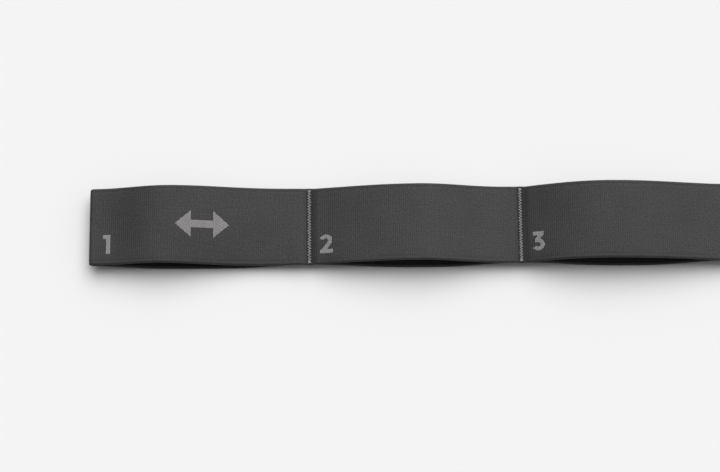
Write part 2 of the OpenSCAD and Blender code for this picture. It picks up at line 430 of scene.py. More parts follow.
# %% [markdown]
# ## Where the pieces are cut
#
# The real strip is one continuous cloth. Here it is cut 5.5 mm from each seam, because the frame moves in
# two ways: a loop stretches, and the band folds at a seam. Each piece's place is then baked into its mesh.

# %% Cuts, and baking a piece's place
SEAM_REACH = 5.5 * MM


def stretch_with_loop(piece):
    """Bakes the piece's place into its mesh."""
    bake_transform(piece)


def bend_with_seam(piece):
    """Bakes the piece's place into its mesh."""
    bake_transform(piece)


def layer_path(layer, x_from, x_to, on_top=0):
    """A layer's middle line as rows of x, z, half thickness and on_top, which is 1 for the upper layer."""
    x = np.linspace(x_from, x_to, max(2, int(abs(x_to - x_from) / FINE_STEP)))
    return np.stack([x, layer.middle(x), layer.half(x), np.full(len(x), on_top)], 1)


print("pieces are cut", SEAM_REACH / MM, "mm from each seam")

# %% [markdown]
# ## The end loops
#
# At each end of the band the strip turns over, so the two runs of an end loop and the fold between them are
# one unbroken piece of cloth. Its path goes along one layer, round the fold and back along the other. Loop
# 8's lower run ends early, at the lap where the two ends of the strip are sewn together.


# %% Path of an end fold, and one run of cloth
FOLD_STATIONS = 40


def fold_path(joint, half, from_angle, to_angle):
    """The cloth's middle line round an end fold, between two angles in degrees."""
    low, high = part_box("near_fold")
    radius = (high.z - low.z) / 2 - half
    angle = np.radians(np.linspace(from_angle, to_angle, FOLD_STATIONS))[1:-1]
    x, z = joint.x + radius * np.cos(angle), joint.z + radius * np.sin(angle)
    return np.stack([x, z, np.full(len(x), half), np.zeros(len(x))], 1)


def lay_run(name, path, nodes):
    """The cloth of loop k along a path, in the place of some nodes of the frame."""
    part = strip(path)
    piece = webbing_piece(name, [part])
    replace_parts(piece, *nodes)
    stretch_with_loop(piece)
    print(name, "is", round(part["length"] / MM, 1), "mm of webbing")
    return piece


# %% Loop 1 and loop 8
near, far = joints[0], joints[LOOPS]
lap_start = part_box(f"webbing_bottom_{LOOPS}")[0].x
near_cut, far_cut = joints[1].x - SEAM_REACH, joints[LOOPS - 1].x + SEAM_REACH
near_path = np.concatenate([
    layer_path(lower_layer, near_cut, near.x),
    fold_path(near, float(upper_layer.half(near.x)), 270, 90),
    layer_path(upper_layer, near.x, near_cut, on_top=1),
])
far_path = np.concatenate([
    layer_path(upper_layer, far_cut, far.x, on_top=1),
    fold_path(far, float(upper_layer.half(far.x)), 90, -90),
    layer_path(closing_layer, far.x, lap_start),
])
webbing = [
    lay_run("end_loop_1", near_path, ["webbing_top_1", "near_fold", "webbing_bottom_1"]),
    lay_run("end_loop_8", far_path, ["webbing_top_8", "far_fold", "webbing_bottom_8"]),
]

# %% [markdown]
# ## The middle loops
#
# Loops 2 to 7 are alike apart from how they lie, so one loop of code makes them all. The lower run's path
# goes backwards, because a strip's outer side is on the left of its path, and the outer side of the lower
# run is underneath. The lap tail is the strip's other end: it goes on from seam 7, steps down by one
# thickness and ends under the start of loop 8's lower run.

# %% Loops 2 to 7 and the lap tail
for k in range(2, LOOPS):
    left, right = joints[k - 1].x + SEAM_REACH, joints[k].x - SEAM_REACH
    upper_path = layer_path(upper_layer, left, right, on_top=1)
    lower_path = layer_path(lower_layer, right, left)
    webbing.append(lay_run(f"upper_run_{k}", upper_path, [f"webbing_top_{k}"]))
    webbing.append(lay_run(f"lower_run_{k}", lower_path, [f"webbing_bottom_{k}"]))
lap_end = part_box("lap_end")[1].x
webbing.append(lay_run("lap_tail", layer_path(lower_layer, lap_end, far_cut), ["lap_end"]))

# %% [markdown]
# ## The cross seams
#
# A zigzag seam presses the two layers flat, and every stitch pulls the cloth into a small dimple where the
# needle went through. Dimples could be a bump texture, but a groove and holes that catch real shadow look
# better beside the pale thread. So the seam pieces have many more columns of points than the runs, and the
# outer faces are pushed in along the seam and round each needle hole. The feed of the sewing machine pulled
# the thread a little towards the near end, so the holes on the far side of the seam lie open beside it.

# %% Sizes of a seam
STITCHES = 54
thread_low, thread_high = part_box("needle_thread_1")
THREAD = thread_high.z - thread_low.z
ZIGZAG_REACH = (thread_high.x - thread_low.x - THREAD) / 2
STITCH_STEP = (thread_high.y - thread_low.y) / STITCHES
HOLE_REACH = ZIGZAG_REACH + THREAD
HOLE_SHIFT = THREAD / 2
THREAD_REACH = ZIGZAG_REACH + THREAD / 2
GROOVE_ALONG_SEAM = -0.12 * MM
NEEDLE_DENT = -0.5 * MM
NEEDLE_REACH = 0.32 * MM
SEAM_COLUMN_STEP = 0.35
SEAM_COLUMN_INSET = 1.1
outermost = WIDTH / 2 / MM - SEAM_COLUMN_INSET
seam_columns = np.linspace(-outermost, outermost, 2 * round(outermost / SEAM_COLUMN_STEP) + 1)
print("stitch step in mm:", round(STITCH_STEP / MM, 3), "zigzag reach in mm:", round(ZIGZAG_REACH / MM, 3))


# %% Holes and dents of a seam
def hole_place(i):
    """Where needle hole i is, beside the seam's middle line and along it."""
    return HOLE_SHIFT + (-1) ** (i + 1) * HOLE_REACH, thread_low.y + i * STITCH_STEP


def pressed_at(seam_x):
    """How the thread presses the cloth at a seam: a groove with a dent at each needle hole."""

    def pressed(x, y):
        beside = x - seam_x
        change = GROOVE_ALONG_SEAM * np.exp(-((beside / ZIGZAG_REACH / 1.6) ** 4)) * np.ones_like(y)
        for i in range(STITCHES + 1):
            hole_x, hole_y = hole_place(i)
            away = np.hypot(beside - hole_x, y - hole_y) / NEEDLE_REACH
            change += NEEDLE_DENT * np.exp(-(away**2))
        return change

    return pressed


# %% Seam pieces
for k in range(1, LOOPS):
    x = joints[k].x
    upper = layer_path(upper_layer, x - SEAM_REACH, x + SEAM_REACH, on_top=1)
    lower = layer_path(lower_layer, x + SEAM_REACH, x - SEAM_REACH)
    parts = [strip(path, seam_columns, pressed_at(x)) for path in (upper, lower)]
    piece = webbing_piece(f"seam_webbing_{k}", parts)
    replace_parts(piece, f"webbing_seam_{k}")
    bend_with_seam(piece)
    webbing.append(piece)
print("seam pieces:", LOOPS - 1, "with", len(webbing[-1].data.polygons), "faces each")

# %% [markdown]
# ## The zigzag thread
#
# The seam's light line is a lockstitch: the needle thread lies on top and dives into each needle hole,
# where it is locked by the bobbin thread from below. A flat stripe of colour would do from far away, but a
# round thread that rises and dives gives the small v shapes and the dark holes between them. Each thread is
# a tube along a zigzag, with a knot at both ends where the seam was locked.

# %% Tube along a line
TUBE_SIDES = 8


def tube_rings(line, radius):
    """Rings of points round a line, which never points straight up."""
    along = np.gradient(line, axis=0)
    along /= np.linalg.norm(along, axis=1)[:, None]
    side = np.cross(along, [0, 0, 1])
    side /= np.linalg.norm(side, axis=1)[:, None]
    rise = np.cross(side, along)
    angle = 2 * np.pi * np.arange(TUBE_SIDES) / TUBE_SIDES
    out = np.cos(angle)[None, :, None] * side[:, None] + np.sin(angle)[None, :, None] * rise[:, None]
    taper = np.ones(len(line))
    taper[[0, -1]] = 0.5
    return line[:, None] + out * (radius * taper)[:, None, None]


def closed_tubes(name, all_rings):
    """One piece of several closed tubes, given as rings of points."""
    vertices, faces, cloth = [], [], []
    first, shift = 0, 0.0
    for rings in all_rings:
        count, around = rings.shape[:2]
        faces += grid_faces(count, around, first).tolist()
        faces.append(list(range(first, first + around)))
        faces.append(list(range(first + count * around - 1, first + (count - 1) * around - 1, -1)))
        middle = rings.mean(axis=1)
        run = np.concatenate([[0], np.cumsum(np.linalg.norm(np.diff(middle, axis=0), axis=1))]) / MM
        girth = np.linalg.norm(rings[count // 2] - np.roll(rings[count // 2], 1, axis=0), axis=1).sum() / MM
        round_run = np.linspace(0, girth, around + 1)
        cap = np.stack([round_run[:-1] + run[-1] + 0.1, np.tile([0, 0.2], around // 2)], 1)
        cloth.append(np.concatenate([grid_places(count, around, run, round_run), cap, cap]) + [0, shift])
        vertices.append(rings.reshape(-1, 3))
        first += count * around
        shift += girth
    piece = new_piece(name, np.concatenate(vertices).tolist(), faces)
    add_map(piece, "cloth", np.concatenate(cloth))
    return piece


# %% Zigzag stitches
POINTS_PER_STITCH = 7
THREAD_RADIUS = 0.6 * THREAD
THREAD_LIE = 0.42 * THREAD
DIVE = 0.40 * MM


def unevenness(i, share):
    """A factor near 1 for stitch i, because no stitch is pulled as tight as the one before."""
    return 1 + share * (0.6 * np.sin(2.4 * i) + 0.4 * np.sin(5.3 * i + 1))


def zigzag_line(seam_x, cloth_height, side):
    """The middle line of a zigzag thread. side is 1 on top and -1 underneath."""
    rows = []
    for i in range(STITCHES):
        y0, y1 = hole_place(i)[1], hole_place(i + 1)[1]
        x0, x1 = [(-1) ** (n + 1) * THREAD_REACH * unevenness(n, 0.12) for n in (i, i + 1)]
        for t in np.arange(POINTS_PER_STITCH) / POINTS_PER_STITCH:
            lift = THREAD_LIE * unevenness(i + t, 0.3) - DIVE * abs(2 * t - 1) ** 4
            x = seam_x + x0 + (x1 - x0) * t
            rows.append([x, y0 + (y1 - y0) * t, cloth_height(x) + side * lift])
    return np.array(rows)


# %% Knots, and the whole thread of a seam
KNOT_TURNS = 1.5
KNOT_RADIUS = 0.5 * MM
KNOT_POINTS = 24


def knot_line(seam_x, y, cloth_height, side):
    """A short coil of thread lying on the cloth, where the seam is locked."""
    turn = np.linspace(0, 2 * np.pi * KNOT_TURNS, KNOT_POINTS)
    x = seam_x + KNOT_RADIUS * np.cos(turn)
    height = cloth_height(x) + side * THREAD * (0.45 + 0.35 * turn / turn[-1])
    return np.stack([x, y + 0.7 * KNOT_RADIUS * np.sin(turn), height], 1)


def stitched_thread(name, node, seam_x, cloth_height, side):
    """The thread on one side of a seam, with its two knots, in the place of a node of the frame."""
    ends = [thread_low.y + KNOT_RADIUS, thread_high.y - KNOT_RADIUS]
    zigzag = zigzag_line(seam_x, cloth_height, side)
    radius = THREAD_RADIUS * unevenness(np.arange(len(zigzag)) / POINTS_PER_STITCH, 0.2)
    tubes = [tube_rings(zigzag, radius)]
    tubes += [tube_rings(knot_line(seam_x, y, cloth_height, side), THREAD_RADIUS) for y in ends]
    piece = closed_tubes(name, tubes)
    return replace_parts(piece, node)


def top_of(layer):
    """A layer's upper face, as a function of the place along the band."""
    return lambda x: layer.middle(x) + layer.half(x)


def underside_of(layer):
    """A layer's lower face, as a function of the place along the band."""
    return lambda x: layer.middle(x) - layer.half(x)


# %% The threads of all seams
threads = []
face_above, face_below = top_of(upper_layer), underside_of(lower_layer)
for k in range(1, LOOPS):
    x = joints[k].x
    threads.append(stitched_thread(f"seam_needle_thread_{k}", f"needle_thread_{k}", x, face_above, 1))
    threads.append(stitched_thread(f"seam_bobbin_thread_{k}", f"bobbin_thread_{k}", x, face_below, -1))
    for piece in threads[-2:]:
        bend_with_seam(piece)
lap_x = middle_of("lap_bobbin_thread").x
threads.append(stitched_thread("lap_needle_stitches", "lap_needle_thread", lap_x, top_of(closing_layer), 1))
threads.append(stitched_thread("lap_bobbin_stitches", "lap_bobbin_thread", lap_x, face_below, -1))
for piece in threads[-2:]:
    stretch_with_loop(piece)
print("threads:", len(threads), "with", len(threads[0].data.polygons), "faces each")

# %% [markdown]
# ## Numerals and arrow in pattern yarn
#
# The loop numbers and the stretch arrow are not printed. They are woven in: a light yarn floats over the
# dark cloth in short parallel stitches that run across the webbing, so every figure has a jagged outline in
# steps of one yarn. Each float here is a small closed pillow. Rays from above test, step by step along each
# yarn, whether it is over the CAD figure: a float starts and ends with the figure, and a long float is tied
# down now and then by a dark warp yarn.

# %% Yarn floats
YARN_PITCH = RIB_PITCH / 2 * MM
YARN_STEP = 0.36 * MM
YARN_HALF_WIDTH = 0.25 * MM
YARN_HEIGHT = 0.15 * MM
POINT_STEP = 0.25 * MM
float_angles = np.radians(np.arange(0, 360, 60))


def float_rings(x, y_from, y_to):
    """A pillow of yarn that lies on the upper layer from one place across to another."""
    count = max(4, int((y_to - y_from) / POINT_STEP) + 1)
    t = np.linspace(0, 1, count)
    y = y_from + (y_to - y_from) * t
    plump = np.clip(1 - np.abs(2 * t - 1) ** 8, 0.4, 1)
    surface = top_of(upper_layer)(x) + drape(np.full(count, x), y)
    ring_x = x + np.outer(0.35 + 0.65 * plump, np.cos(float_angles)) * YARN_HALF_WIDTH
    ring_z = surface[:, None] + np.outer(plump, np.sin(float_angles)) * YARN_HEIGHT
    return np.stack([ring_x, np.repeat(y[:, None], len(float_angles), 1), ring_z], -1)


# %% Weave a figure
FLOAT_CELLS = 8
TIE_GAP = 0.03 * MM
TIE_SHIFT = 3


def woven_figure(name, node):
    """The yarn of one figure on loop k. From one yarn to the next, the ties move on by TIE_SHIFT cells."""
    mesh = frame["nodes"][node].data
    figure = BVHTree.FromPolygons([v.co for v in mesh.vertices], [list(p.vertices) for p in mesh.polygons])
    low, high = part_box(node)
    cells = int((high.y - low.y) / YARN_STEP) + 2
    floats = []
    for i in range(int((high.x - low.x) / YARN_PITCH) + 1):
        x = low.x + (i + 0.5) * YARN_PITCH
        start = None
        for j in range(cells + 1):
            y = low.y + (j + 0.5) * YARN_STEP
            inside = figure.ray_cast(Vector((x, y, 1)), Vector((0, 0, -1)))[0] is not None
            tied = start is not None and (j + TIE_SHIFT * i) % FLOAT_CELLS == 0
            if start is not None and (tied or not inside):
                floats.append(float_rings(x, start + TIE_GAP, y - YARN_STEP / 2 - TIE_GAP))
                start = None
            if inside and start is None:
                start = y - YARN_STEP / 2
    piece = closed_tubes(name, floats)
    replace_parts(piece, node)
    stretch_with_loop(piece)
    print(name, "has", len(floats), "floats")
    return piece


figures = [woven_figure(f"woven_numeral_{k}", f"numeral_{k}") for k in range(1, LOOPS + 1)]
figures.append(woven_figure("woven_stretch_arrow", "stretch_arrow"))

# %% [markdown]
# ## Building blocks for the finishes
#
# Every finish below is a node tree, so a few short helpers keep the code readable. One makes a node with
# its inputs set or linked, one makes a node group with named inputs and outputs, and the others are short
# names for the nodes that are used most. The groups only work out colours, masks and heights. The shader
# itself stays in each material.


# %% Node helpers
def add_node(tree, kind, inputs=None, **settings):
    """A node whose inputs are set to a value or linked to another node's output."""
    made = tree.nodes.new(kind)
    for key, value in settings.items():
        setattr(made, key, value)
    for key, value in (inputs or {}).items():
        if isinstance(value, bpy.types.NodeSocket):
            tree.links.new(value, made.inputs[key])
        else:
            made.inputs[key].default_value = value
    return made


def work_out(tree, operation, a, b=0.0, clamp=False):
    """The result of a Math node."""
    return add_node(tree, "ShaderNodeMath", {0: a, 1: b}, operation=operation, use_clamp=clamp).outputs[0]


def blend_colours(tree, share, first, second, blend_type="MIX"):
    """The first colour where share is 0, and where it is 1 the second, or both combined by blend_type."""
    inputs = {"Factor": share, 6: first, 7: second}
    return add_node(tree, "ShaderNodeMix", inputs, data_type="RGBA", blend_type=blend_type).outputs[2]


def as_range(tree, value, from_low, from_high, to_low=0.0, to_high=1.0):
    """A value moved from one range to another, and held at its ends."""
    inputs = {0: value, 1: from_low, 2: from_high, 3: to_low, 4: to_high}
    return add_node(tree, "ShaderNodeMapRange", inputs).outputs[0]


def noise_at(tree, places, scale):
    """Soft noise from 0 to 1, with features of about 1 / scale millimetres."""
    return add_node(tree, "ShaderNodeTexNoise", {"Vector": places, "Scale": scale, "Detail": 2.0}).outputs[0]


# %% Group and colour helpers
def start_group(name, inputs, outputs):
    """A new group with its input and output nodes. inputs and outputs are {name: socket kind}."""
    group = bpy.data.node_groups.new(name, "ShaderNodeTree")
    for key, kind in inputs.items():
        group.interface.new_socket(key, in_out="INPUT", socket_type=f"NodeSocket{kind}")
    for key, kind in outputs.items():
        group.interface.new_socket(key, in_out="OUTPUT", socket_type=f"NodeSocket{kind}")
    entry = group.nodes.new("NodeGroupInput").outputs
    leave = group.nodes.new("NodeGroupOutput").inputs
    return group, entry, leave


def use_group(tree, group, inputs):
    """The outputs of a group that is placed in a material with its own inputs."""
    return add_node(tree, "ShaderNodeGroup", inputs, node_tree=group).outputs


def linear(red, green, blue):
    """A colour as seen on a screen, 0 to 255, turned into the light values that shaders use."""
    def one(v):
        v /= 255
        return v / 12.92 if v <= 0.04045 else ((v + 0.055) / 1.055) ** 2.4

    return (one(red), one(green), one(blue), 1.0)


# %% [markdown]
# ## The weave
#
# The ribs are in the mesh already. What is still finer is the yarn that makes a rib: small oval bumps side
# by side, half a step apart from one rib to the next. The group gets the cloth map in millimetres, so the
# weave follows the cloth round a fold and in a stretched loop. It puts out a height for the bump and a mask
# of the gaps between yarns, where the finish paints the shade that falls between them.

# %% Node group: woven ribs
woven_ribs, rib_in, rib_out = start_group(
    "Woven Ribs",
    {"Cloth": "Vector", "Rib Pitch": "Float", "Yarn Pitch": "Float"},
    {"Height": "Float", "Gap Shade": "Float"},
)
places = add_node(woven_ribs, "ShaderNodeSeparateXYZ", {0: rib_in["Cloth"]}).outputs
along_ribs = work_out(woven_ribs, "DIVIDE", places["X"], rib_in["Rib Pitch"])
across_yarns = work_out(woven_ribs, "DIVIDE", places["Y"], rib_in["Yarn Pitch"])
rib_number = work_out(woven_ribs, "FLOOR", along_ribs)
across_yarns = work_out(woven_ribs, "ADD", across_yarns, work_out(woven_ribs, "MULTIPLY", rib_number, 0.5))
rib_angle = work_out(woven_ribs, "MULTIPLY", along_ribs, 2 * math.pi)
rib_wave = as_range(woven_ribs, work_out(woven_ribs, "COSINE", rib_angle), 1, -1)
yarn_angle = work_out(woven_ribs, "MULTIPLY", across_yarns, math.pi)
yarn_wave = work_out(woven_ribs, "ABSOLUTE", work_out(woven_ribs, "SINE", yarn_angle))
yarn_wave = work_out(woven_ribs, "POWER", yarn_wave, 0.6)
rib_round = work_out(woven_ribs, "POWER", rib_wave, 0.5)
bumps = work_out(woven_ribs, "MULTIPLY", rib_round, yarn_wave)
woven_ribs.links.new(bumps, rib_out["Height"])
# The gap mask is where painted shade goes: the recesses between yarns.
woven_ribs.links.new(work_out(woven_ribs, "SUBTRACT", 1.0, bumps), rib_out["Gap Shade"])

# %% [markdown]
# ## Heathered yarn
#
# Charcoal polyester is never one flat colour. Single yarns take the dye a little differently, so there are
# fine flecks, long faint streaks along the warp and very soft clouds over several centimetres. Three noise
# textures at three sizes give these, and the group lets each material choose how strong they are.

# %% Node group: heathered colour
heather, heather_in, heather_out = start_group(
    "Heathered Colour",
    {"Cloth": "Vector", "Colour": "Color", "Fleck Colour": "Color", "Flecks": "Float", "Streaks": "Float"},
    {"Colour": "Color", "Fleck Mask": "Float"},
)
fleck_mask = as_range(heather, noise_at(heather, heather_in["Cloth"], 1.3), 0.38, 0.62)
fleck_share = work_out(heather, "MULTIPLY", fleck_mask, heather_in["Flecks"], clamp=True)
flecked = blend_colours(heather, fleck_share, heather_in["Colour"], heather_in["Fleck Colour"])
drawn_out = {0: heather_in["Cloth"], 1: (0.07, 1.1, 1)}
long_places = add_node(heather, "ShaderNodeVectorMath", drawn_out, operation="MULTIPLY").outputs[0]
streaks = noise_at(heather, long_places, 1.0)
clouds = noise_at(heather, heather_in["Cloth"], 0.06)
uneven = work_out(heather, "ADD", streaks, clouds)
uneven = as_range(heather, uneven, 0.7, 1.3, -1.0, 1.0)
uneven = work_out(heather, "MULTIPLY", uneven, heather_in["Streaks"])
brightness = work_out(heather, "ADD", uneven, 1.0)
toned = add_node(heather, "ShaderNodeVectorMath", {0: flecked, "Scale": brightness}, operation="SCALE")
heather.links.new(toned.outputs[0], heather_out["Colour"])
heather.links.new(fleck_mask, heather_out["Fleck Mask"])

# %% [markdown]
# ## Twisted thread
#
# Sewing thread and pattern yarn are both twisted from thinner strands, so they show slanting stripes. The
# stripe is a wave that depends on the place along the thread plus the place round it, and its gap mask is
# where the finish paints shade between the strands.

# %% Node group: twisted strands
twist, twist_in, twist_out = start_group(
    "Twisted Strands", {"Cloth": "Vector", "Twist Pitch": "Float"}, {"Height": "Float", "Gap Shade": "Float"}
)
thread_places = add_node(twist, "ShaderNodeSeparateXYZ", {0: twist_in["Cloth"]}).outputs
slant = work_out(twist, "ADD", thread_places["X"], thread_places["Y"])
turns = work_out(twist, "DIVIDE", slant, twist_in["Twist Pitch"])
strand = work_out(twist, "ABSOLUTE", work_out(twist, "SINE", work_out(twist, "MULTIPLY", turns, math.pi)))
strand = work_out(twist, "POWER", strand, 0.5)
twist.links.new(strand, twist_out["Height"])
twist.links.new(work_out(twist, "SUBTRACT", 1.0, strand), twist_out["Gap Shade"])
print("node groups:", sorted(group.name for group in bpy.data.node_groups))

# %% [markdown]
# ## The selvedge
#
# Along each long edge the weft turns round a slightly thicker cord. It is packed more tightly, so it looks
# a little smoother and lighter. The dark line along the groove is painted shade, and so is the darkening of
# the webbing's side, where little light gets between its turned yarns. The cloth map's second number is the
# distance round the webbing, so the distance from the nearest edge is a triangle wave of it.

# %% Node group: selvedge
selvedge, edge_in, edge_out = start_group(
    "Selvedge",
    {"Cloth": "Vector", "Side Width": "Float", "Cord Width": "Float", "Thickness": "Float"},
    {"Cord": "Float", "Groove Shade": "Float", "Side": "Float"},
)
round_place = add_node(selvedge, "ShaderNodeSeparateXYZ", {0: edge_in["Cloth"]}).outputs["Y"]
half_side = work_out(selvedge, "DIVIDE", edge_in["Side Width"], 2.0)
from_edge = work_out(selvedge, "PINGPONG", round_place, half_side)
cord = work_out(selvedge, "LESS_THAN", from_edge, edge_in["Cord Width"])
to_groove = work_out(selvedge, "ABSOLUTE", work_out(selvedge, "SUBTRACT", from_edge, edge_in["Cord Width"]))
# Painted shade: a dark line along the selvedge groove, where shade falls.
groove_shade_mask = as_range(selvedge, to_groove, 0.0, 0.45, 1.0, 0.0)
side_start = work_out(selvedge, "MULTIPLY", edge_in["Thickness"], 0.25)
side_end = work_out(selvedge, "MULTIPLY", edge_in["Thickness"], 0.6)
# Painted shade: the webbing's side is darkened, where little light reaches it.
side_shade_mask = as_range(selvedge, from_edge, side_start, side_end, 1.0, 0.0)
selvedge.links.new(cord, edge_out["Cord"])
selvedge.links.new(side_shade_mask, edge_out["Side"])
selvedge.links.new(groove_shade_mask, edge_out["Groove Shade"])

# %% [markdown]
# ## Needle holes
#
# Cloth round a needle hole is pulled tight into a dent, which the mesh gives. This group gives masks for
# painted shade: in each hole and along the seam's groove beside the thread, where shade falls. On the cloth
# map the holes are two rows, one on each side of the seam, and the second row is half a period further on.
# So the distance along the seam is a triangle wave, turned round on the far side.

# %% Node group: needle holes
needle_holes, hole_in, hole_out = start_group(
    "Needle Holes",
    {"Cloth": "Vector", "Seam Place": "Float", "First Hole": "Float", "Reach": "Float", "Step": "Float"},
    {"Holes": "Float", "Groove Shade": "Float"},
)
places = add_node(needle_holes, "ShaderNodeSeparateXYZ", {0: hole_in["Cloth"]}).outputs
beside = work_out(needle_holes, "SUBTRACT", places["X"], hole_in["Seam Place"])
on_far_side = work_out(needle_holes, "GREATER_THAN", beside, 0.0)
run = work_out(needle_holes, "SUBTRACT", places["Y"], hole_in["First Hole"])
run = work_out(needle_holes, "PINGPONG", run, hole_in["Step"])
far_shift = work_out(needle_holes, "MULTIPLY", on_far_side, hole_in["Step"])
run = work_out(needle_holes, "SUBTRACT", run, far_shift)
from_row = work_out(needle_holes, "SUBTRACT", work_out(needle_holes, "ABSOLUTE", beside), hole_in["Reach"])
apart = add_node(needle_holes, "ShaderNodeCombineXYZ", {0: from_row, 1: run}).outputs[0]
apart = add_node(needle_holes, "ShaderNodeVectorMath", {0: apart}, operation="LENGTH").outputs["Value"]
# Painted shade: masks for darkening in each needle hole and along the seam's groove.
needle_holes.links.new(as_range(needle_holes, apart, 0.34, 0.58, 1.0, 0.0), hole_out["Holes"])
needle_holes.links.new(as_range(needle_holes, from_row, 0.1, 0.7, 1.0, 0.0), hole_out["Groove Shade"])

# %% [markdown]
# ## Webbing finish
#
# The webbing is matt and dark with a soft bloom of fine fibres, which the Principled shader's sheen gives.
# The heathered colour is darkened with painted shade in the gaps of the weave, along the selvedge groove
# and on the sides, and at a seam in the needle holes and its groove as well. Roughness is lower on the
# flecks, because those yarns are smoother.

# %% Material helpers
def start_material(name, **sockets):
    """A new material, its tree, its shader and the cloth map. A _ in a socket's name stands for a space."""
    material = bpy.data.materials.new(name)
    material.use_nodes = True
    tree = material.node_tree
    shader = tree.nodes["Principled BSDF"]
    for key, value in sockets.items():
        shader.inputs[key.replace("_", " ")].default_value = value
    cloth = add_node(tree, "ShaderNodeUVMap", uv_map="cloth").outputs[0]
    return material, tree, shader, cloth


def give_bump(tree, shader, height, distance, strength):
    """Bump on a shader's normal. distance is how far a height of 1 rises, in metres."""
    bump = add_node(tree, "ShaderNodeBump", {"Height": height, "Distance": distance, "Strength": strength})
    tree.links.new(bump.outputs[0], shader.inputs["Normal"])


# %% Webbing material
CHARCOAL = linear(45, 43, 45)
CHARCOAL_FLECK = linear(62, 60, 62)
CORD_WIDTH = 1.9
EDGE_SIZES = {
    "Side Width": RING_LENGTH / 2,
    "Cord Width": CORD_WIDTH,
    "Thickness": 2 * LAYER_HALF / MM,
}
HOLE_PLACES = {
    "Seam Place": RIB_PITCH * round(2 * SEAM_REACH / MM / RIB_PITCH) / 2 + HOLE_SHIFT / MM,
    "First Hole": RING_LENGTH / 4 + thread_low.y / MM,
    "Reach": HOLE_REACH / MM,
    "Step": STITCH_STEP / MM,
}


def webbing_finish(name, at_seam=False):
    """The cloth's finish, with painted shade in the needle holes and seam groove where it is at a seam."""
    sockets = {"Specular_IOR_Level": 0.18, "Sheen_Weight": 0.02, "Sheen_Roughness": 0.5}
    material, tree, shader, cloth = start_material(name, **sockets)
    weave = use_group(tree, woven_ribs, {"Cloth": cloth, "Rib Pitch": RIB_PITCH, "Yarn Pitch": 0.55})
    colours = {"Colour": CHARCOAL, "Fleck Colour": CHARCOAL_FLECK, "Flecks": 0.8, "Streaks": 0.14}
    tone = use_group(tree, heather, {"Cloth": cloth, **colours})
    edge = use_group(tree, selvedge, {"Cloth": cloth, **EDGE_SIZES})
    # Painted shade: each mask darkens the colour where shade falls, by its share of light lost.
    painted_shades = [(weave["Gap Shade"], 0.28), (edge["Groove Shade"], 0.25), (edge["Side"], 0.4)]
    if at_seam:
        # At a seam, painted shade also goes in the needle holes and along the seam's groove.
        holes = use_group(tree, needle_holes, {"Cloth": cloth, **HOLE_PLACES})
        painted_shades += [(holes["Holes"], 0.85), (holes["Groove Shade"], 0.25)]
    cord_share = work_out(tree, "MULTIPLY", edge["Cord"], 0.12)
    colour = blend_colours(tree, cord_share, tone["Colour"], CHARCOAL_FLECK)
    for mask, share in painted_shades:
        colour = blend_colours(tree, mask, colour, (1 - share, 1 - share, 1 - share, 1), "MULTIPLY")
    tree.links.new(colour, shader.inputs["Base Color"])
    tree.links.new(as_range(tree, tone["Fleck Mask"], 0, 1, 0.48, 0.34), shader.inputs["Roughness"])
    give_bump(tree, shader, weave["Height"], 0.045 * MM, 0.8)
    return material


run_finish = webbing_finish("charcoal_webbing")
seam_finish = webbing_finish("charcoal_webbing_at_seams", at_seam=True)
for piece in webbing:
    piece.data.materials.append(seam_finish if piece.name.startswith("seam") else run_finish)
print("webbing colour:", [round(v, 3) for v in CHARCOAL[:3]])

# %% [markdown]
# ## Thread and yarn finishes
#
# Both are light grey polyester. The sewing thread is thin and slightly shiny. The pattern yarn is softer
# and fuller. Both are darkened between their strands with painted shade, where shade falls in the twist.
# They share the twist and the heather groups with their own values.


# %% Thread and yarn materials
GAP_SHADE = (0.5, 0.5, 0.5, 1.0)


def strand_finish(name, colour, fleck, gap_shade_share, pitch, rough, **sockets):
    """A light twisted strand. gap_shade_share is how dark the painted shade in its gaps is, and pitch is one
    strand's width in mm.
    """
    material, tree, shader, cloth = start_material(name, **sockets)
    strands = use_group(tree, twist, {"Cloth": cloth, "Twist Pitch": pitch})
    colours = {"Colour": colour, "Fleck Colour": fleck, "Flecks": 0.6, "Streaks": 0.06}
    tone = use_group(tree, heather, {"Cloth": cloth, **colours})
    # Painted shade: the strands' gaps are darkened towards GAP_SHADE.
    share = work_out(tree, "MULTIPLY", strands["Gap Shade"], gap_shade_share)
    shaded = blend_colours(tree, share, tone["Colour"], GAP_SHADE, "MULTIPLY")
    tree.links.new(shaded, shader.inputs["Base Color"])
    tree.links.new(as_range(tree, strands["Height"], 0, 1, rough + 0.12, rough), shader.inputs["Roughness"])
    give_bump(tree, shader, strands["Height"], 0.03 * MM, 0.7)
    return material


thread_finish = strand_finish(
    "grey_sewing_thread",
    colour=linear(150, 148, 151),
    fleck=linear(172, 170, 173),
    gap_shade_share=0.6,
    pitch=0.22,
    rough=0.55,
    Specular_IOR_Level=0.35,
)
yarn_finish = strand_finish(
    "grey_pattern_yarn",
    colour=linear(159, 156, 158),
    fleck=linear(174, 171, 173),
    gap_shade_share=0.5,
    pitch=0.3,
    rough=0.75,
    Specular_IOR_Level=0.25,
    Sheen_Weight=0.1,
    Sheen_Roughness=0.5,
)
for piece in threads:
    piece.data.materials.append(thread_finish)
for piece in figures:
    piece.data.materials.append(yarn_finish)
print("materials:", sorted(material.name for material in bpy.data.materials))

# %% [markdown]
# ## Floor
#
# The band lies on a plain pale floor. A curved backdrop would need a horizon line out of view, and a large
# flat floor is simpler. It lies a trace below the band, so that the two don't fight for the same place.

# %% Floor
PALE = 0.905
FLOOR_HALF = 14
FLOOR_DROP = 0.05 * MM

